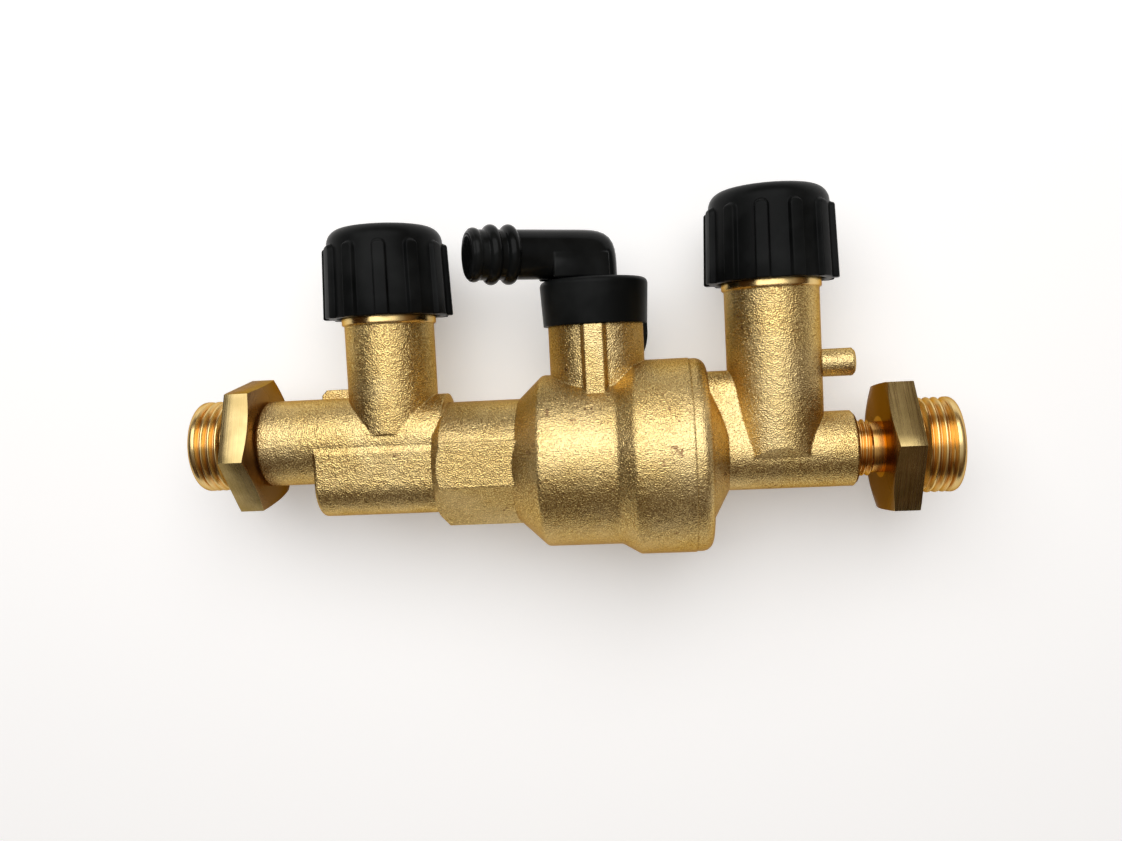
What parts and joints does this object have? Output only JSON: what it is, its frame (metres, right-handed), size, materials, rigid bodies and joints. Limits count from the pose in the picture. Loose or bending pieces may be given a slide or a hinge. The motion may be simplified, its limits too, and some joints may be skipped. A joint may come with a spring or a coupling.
{
  "type": "non-return valve",
  "caption": "Straight filling valve with spring-loaded non-return valves, a vented middle chamber, two ribbed tap knobs, a swivelling drain elbow and threaded ends.",
  "frame": {"origin": "on the chamber's axis, where the inlet nipple's outer thread reaches its full diameter", "axes": "+X along the pipe out of the inlet, +Y towards the tap knobs, +Z out of the front that the picture shows; the valve lies on its back"},
  "size_m": [0.1355, 0.0635, 0.0346],
  "materials": {
    "cast_brass": "cast and blasted",
    "turned_brass": "machined",
    "black_plastic": "satin moulded",
    "gloss_black_plastic": "glossy moulded",
    "inner_plastic": "moulded acetal",
    "seal_rubber": "moulded rubber",
    "spring_steel": "drawn wire",
    "strainer_steel": "thin sheet"
  },
  "bodies": {
    "root": {"outlet_body": "cast_brass", "inlet_body": "cast_brass", "body_seal": "seal_rubber", "outlet_nipple": "turned_brass", "inlet_nipple": "turned_brass", "inlet_strainer": "strainer_steel", "drain_collar": "black_plastic", "downstream_check_cartridge": "inner_plastic", "downstream_cartridge_seal": "seal_rubber", "downstream_check_guide": "inner_plastic", "downstream_check_spring": "spring_steel", "outlet_bonnet": "turned_brass", "outlet_bonnet_seal": "seal_rubber", "inlet_bonnet": "turned_brass", "inlet_bonnet_seal": "seal_rubber", "vent_spring": "spring_steel"},
    "outlet_disc": {"outlet_disc_holder": "turned_brass", "outlet_disc_washer": "seal_rubber"},
    "outlet_handle": {"outlet_knob": "black_plastic", "outlet_spindle": "turned_brass", "outlet_spindle_seal": "seal_rubber"},
    "inlet_disc": {"inlet_disc_holder": "turned_brass", "inlet_disc_washer": "seal_rubber"},
    "inlet_handle": {"inlet_knob": "black_plastic", "inlet_spindle": "turned_brass", "inlet_spindle_seal": "seal_rubber"},
    "drain_outlet": {"drain_elbow": "gloss_black_plastic", "drain_elbow_seal": "seal_rubber"},
    "vent_piston_group": {"vent_piston": "inner_plastic", "vent_piston_seal": "seal_rubber", "vent_seal": "seal_rubber", "upstream_check_guide": "inner_plastic", "upstream_check_spring": "spring_steel"},
    "upstream_poppet": {"upstream_check_poppet": "inner_plastic", "upstream_check_poppet_seal": "seal_rubber"},
    "downstream_poppet": {"downstream_check_poppet": "inner_plastic", "downstream_check_poppet_seal": "seal_rubber"}
  },
  "joints": [
    {"name": "outlet_tap_turn", "type": "hinge", "parent": "root", "child": "outlet_handle", "pos_m": [-0.098, 0.0355, 0], "axis": [0, 1, 0], "range_deg": [0, 720]},
    {"name": "outlet_tap_lift", "type": "slide", "parent": "root", "child": "outlet_disc", "axis": [0, 1, 0], "range_m": [0, 0.003]},
    {"name": "inlet_tap_turn", "type": "hinge", "parent": "root", "child": "inlet_handle", "pos_m": [-0.02915, 0.038, 0], "axis": [0, 1, 0], "range_deg": [0, 720]},
    {"name": "inlet_tap_lift", "type": "slide", "parent": "root", "child": "inlet_disc", "axis": [0, 1, 0], "range_m": [0, 0.003]},
    {"name": "drain_elbow_swivel", "type": "hinge", "parent": "root", "child": "drain_outlet", "pos_m": [-0.06035, 0.0366, 0], "axis": [0, 1, 0], "range_deg": [-155, 105]},
    {"name": "vent_piston_slide", "type": "slide", "parent": "root", "child": "vent_piston_group", "axis": [-1, 0, 0], "range_m": [0, 0.0028], "stiffness_N_per_m": 300, "springref_m": -0.004, "deforming": ["vent_spring"]},
    {"name": "upstream_check_open", "type": "slide", "parent": "vent_piston_group", "child": "upstream_poppet", "axis": [-1, 0, 0], "range_m": [0, 0.0026], "stiffness_N_per_m": 60, "springref_m": -0.002, "deforming": ["upstream_check_spring"]},
    {"name": "downstream_check_open", "type": "slide", "parent": "root", "child": "downstream_poppet", "axis": [-1, 0, 0], "range_m": [0, 0.0026], "stiffness_N_per_m": 60, "springref_m": -0.002, "deforming": ["downstream_check_spring"]}
  ],
  "couplings": [
    {"joint": "outlet_tap_turn", "follows": "outlet_tap_lift", "rad_per_m": 4188.8},
    {"joint": "inlet_tap_turn", "follows": "inlet_tap_lift", "rad_per_m": 4188.8}
  ]
}
